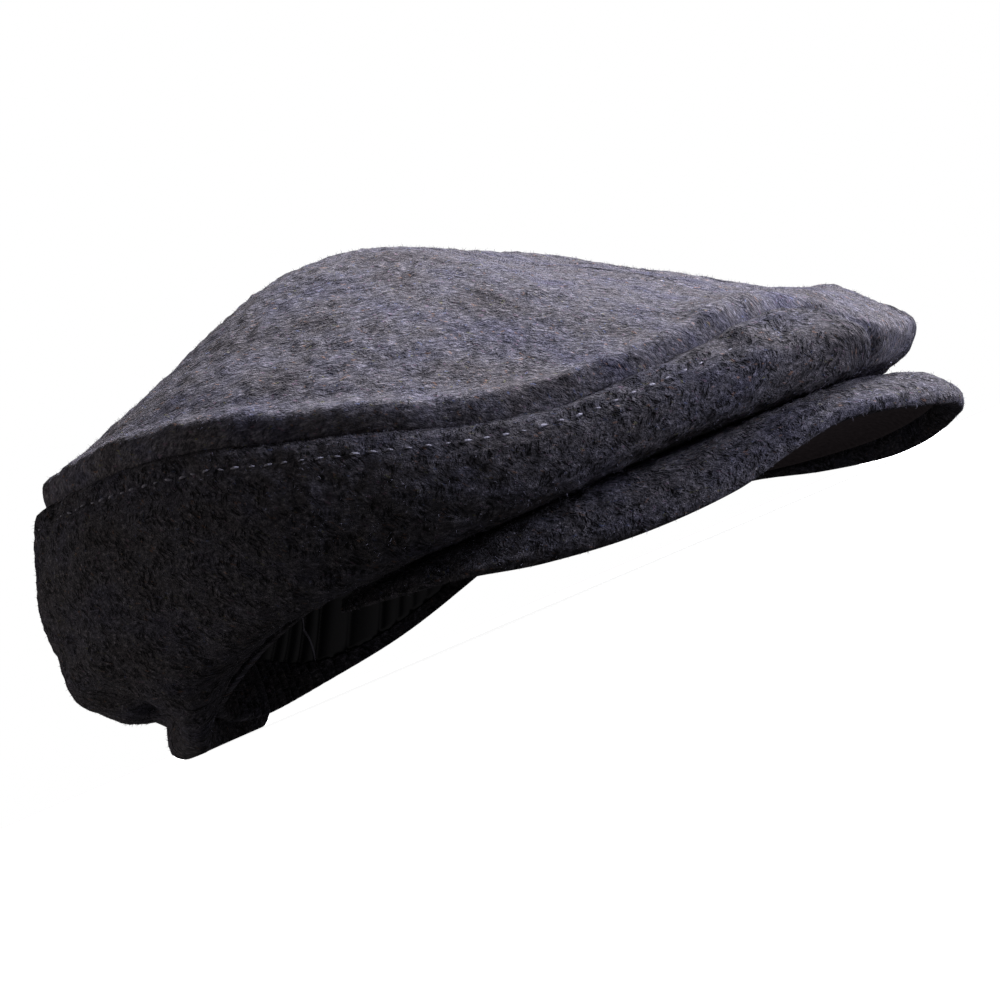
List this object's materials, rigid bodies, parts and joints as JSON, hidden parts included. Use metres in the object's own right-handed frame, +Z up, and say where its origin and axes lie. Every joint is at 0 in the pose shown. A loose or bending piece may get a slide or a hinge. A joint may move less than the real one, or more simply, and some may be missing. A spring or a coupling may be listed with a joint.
{
  "type": "flat cap",
  "caption": "Flat cap of thick heathered wool tweed: slouched crown with a rolled seam, side panel, arched stiff peak, satin sweatband and an elastic gather at the back.",
  "frame": {"origin": "on the surface that the cap lies on, under the middle of its bounding box", "axes": "+Z up, -Y towards the front, where the peak points, and -X towards the wearer's right"},
  "size_m": [0.2106, 0.2818, 0.1185],
  "materials": {
    "tweed_top": "fulled, fuzzy wool tweed, charcoal with blue and brown heather",
    "tweed_side": "coarse wool tweed, charcoal with blue and brown heather",
    "tweed_peak": "coarse wool tweed over a stiff core",
    "underlay_cloth": "smooth brownish dark wool cloth",
    "tweed_rim": "coarse wool tweed, gathered",
    "satin": "black satin with a soft sheen"
  },
  "bodies": {
    "root": {"top_panel": "tweed_top", "side_panel": "tweed_side", "peak": "tweed_peak", "peak_underlay": "underlay_cloth", "rim_strip": "tweed_rim", "sweatband": "satin"}
  },
  "joints": []
}
